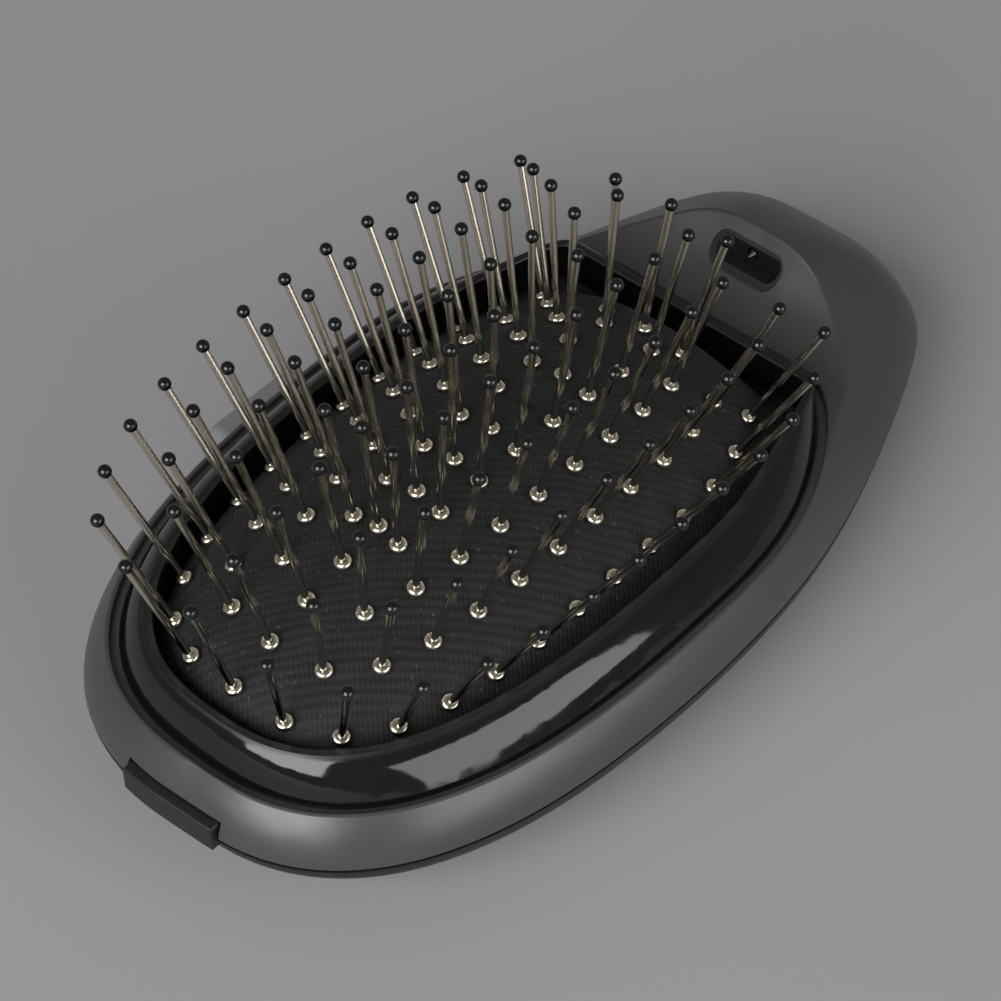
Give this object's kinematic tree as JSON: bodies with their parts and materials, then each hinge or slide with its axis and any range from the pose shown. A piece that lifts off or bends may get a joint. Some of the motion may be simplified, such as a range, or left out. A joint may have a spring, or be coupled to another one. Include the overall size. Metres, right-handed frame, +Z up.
{
  "type": "electric styling brush",
  "caption": "Palm-held electric styling brush: egg-shaped body, domed cushion with fanned metal pins and ball tips, ion outlet under a raised hood, side push button, lift-off battery cover.",
  "frame": {"origin": "under the middle of the body, on the flat resting face of the back cover", "axes": "+X from the front thumb tab to the hood, +Y towards the side with the push button, +Z up, the way the pins point"},
  "size_m": [0.1361, 0.0763, 0.0525],
  "materials": {
    "housing_grey": "satin",
    "cover_grey": "satin",
    "bezel_black": "gloss",
    "outlet_black": "matte",
    "pad_rubber": "ribbed matte",
    "pin_metal": "polished, warm nickel",
    "collar_metal": "polished",
    "tip_black": "gloss",
    "button_grey": "satin",
    "inner_plastic": "matte",
    "cell_jacket": "gloss",
    "contact_metal": "bright",
    "board_green": "semi-gloss",
    "component_black": "matte",
    "potting_blue": "gloss",
    "needle_steel": "bright",
    "lead_red": "satin",
    "lead_white": "satin",
    "lamp_clear": "clear",
    "screw_steel": "zinc plated"
  },
  "bodies": {
    "body": {"upper_housing": "housing_grey", "bezel_frame": "bezel_black", "outlet_cup": "outlet_black", "cushion_pad": "pad_rubber", "bristle_pins": "pin_metal", "pin_collars": "collar_metal", "pin_retainers": "collar_metal", "pin_tips": "tip_black", "base_plate": "inner_plastic", "chassis": "inner_plastic", "emitter_holder": "inner_plastic", "battery_left": "cell_jacket", "battery_right": "cell_jacket", "contact_springs": "contact_metal", "contact_bridge": "contact_metal", "contact_terminals": "contact_metal", "circuit_board": "board_green", "switch_board": "board_green", "board_parts": "component_black", "switch_body": "component_black", "ion_generator": "potting_blue", "emitter_needle": "needle_steel", "battery_leads": "lead_red", "emitter_lead": "lead_red", "switch_leads": "lead_white", "indicator_lamp": "lamp_clear", "housing_screws": "screw_steel", "chassis_screws": "screw_steel", "board_screws": "screw_steel"},
    "cover": {"back_cover": "cover_grey"},
    "button": {"power_button": "button_grey", "switch_plunger": "inner_plastic"}
  },
  "joints": [
    {"name": "button_push", "type": "slide", "parent": "body", "child": "button", "axis": [0, -1, 0], "range_m": [0, 0.001], "stiffness_N_per_m": 400, "springref_m": -0.002},
    {"name": "cover_lift_off", "type": "slide", "parent": "body", "child": "cover", "axis": [0, 0, -1], "range_m": [0, 0.03]}
  ]
}
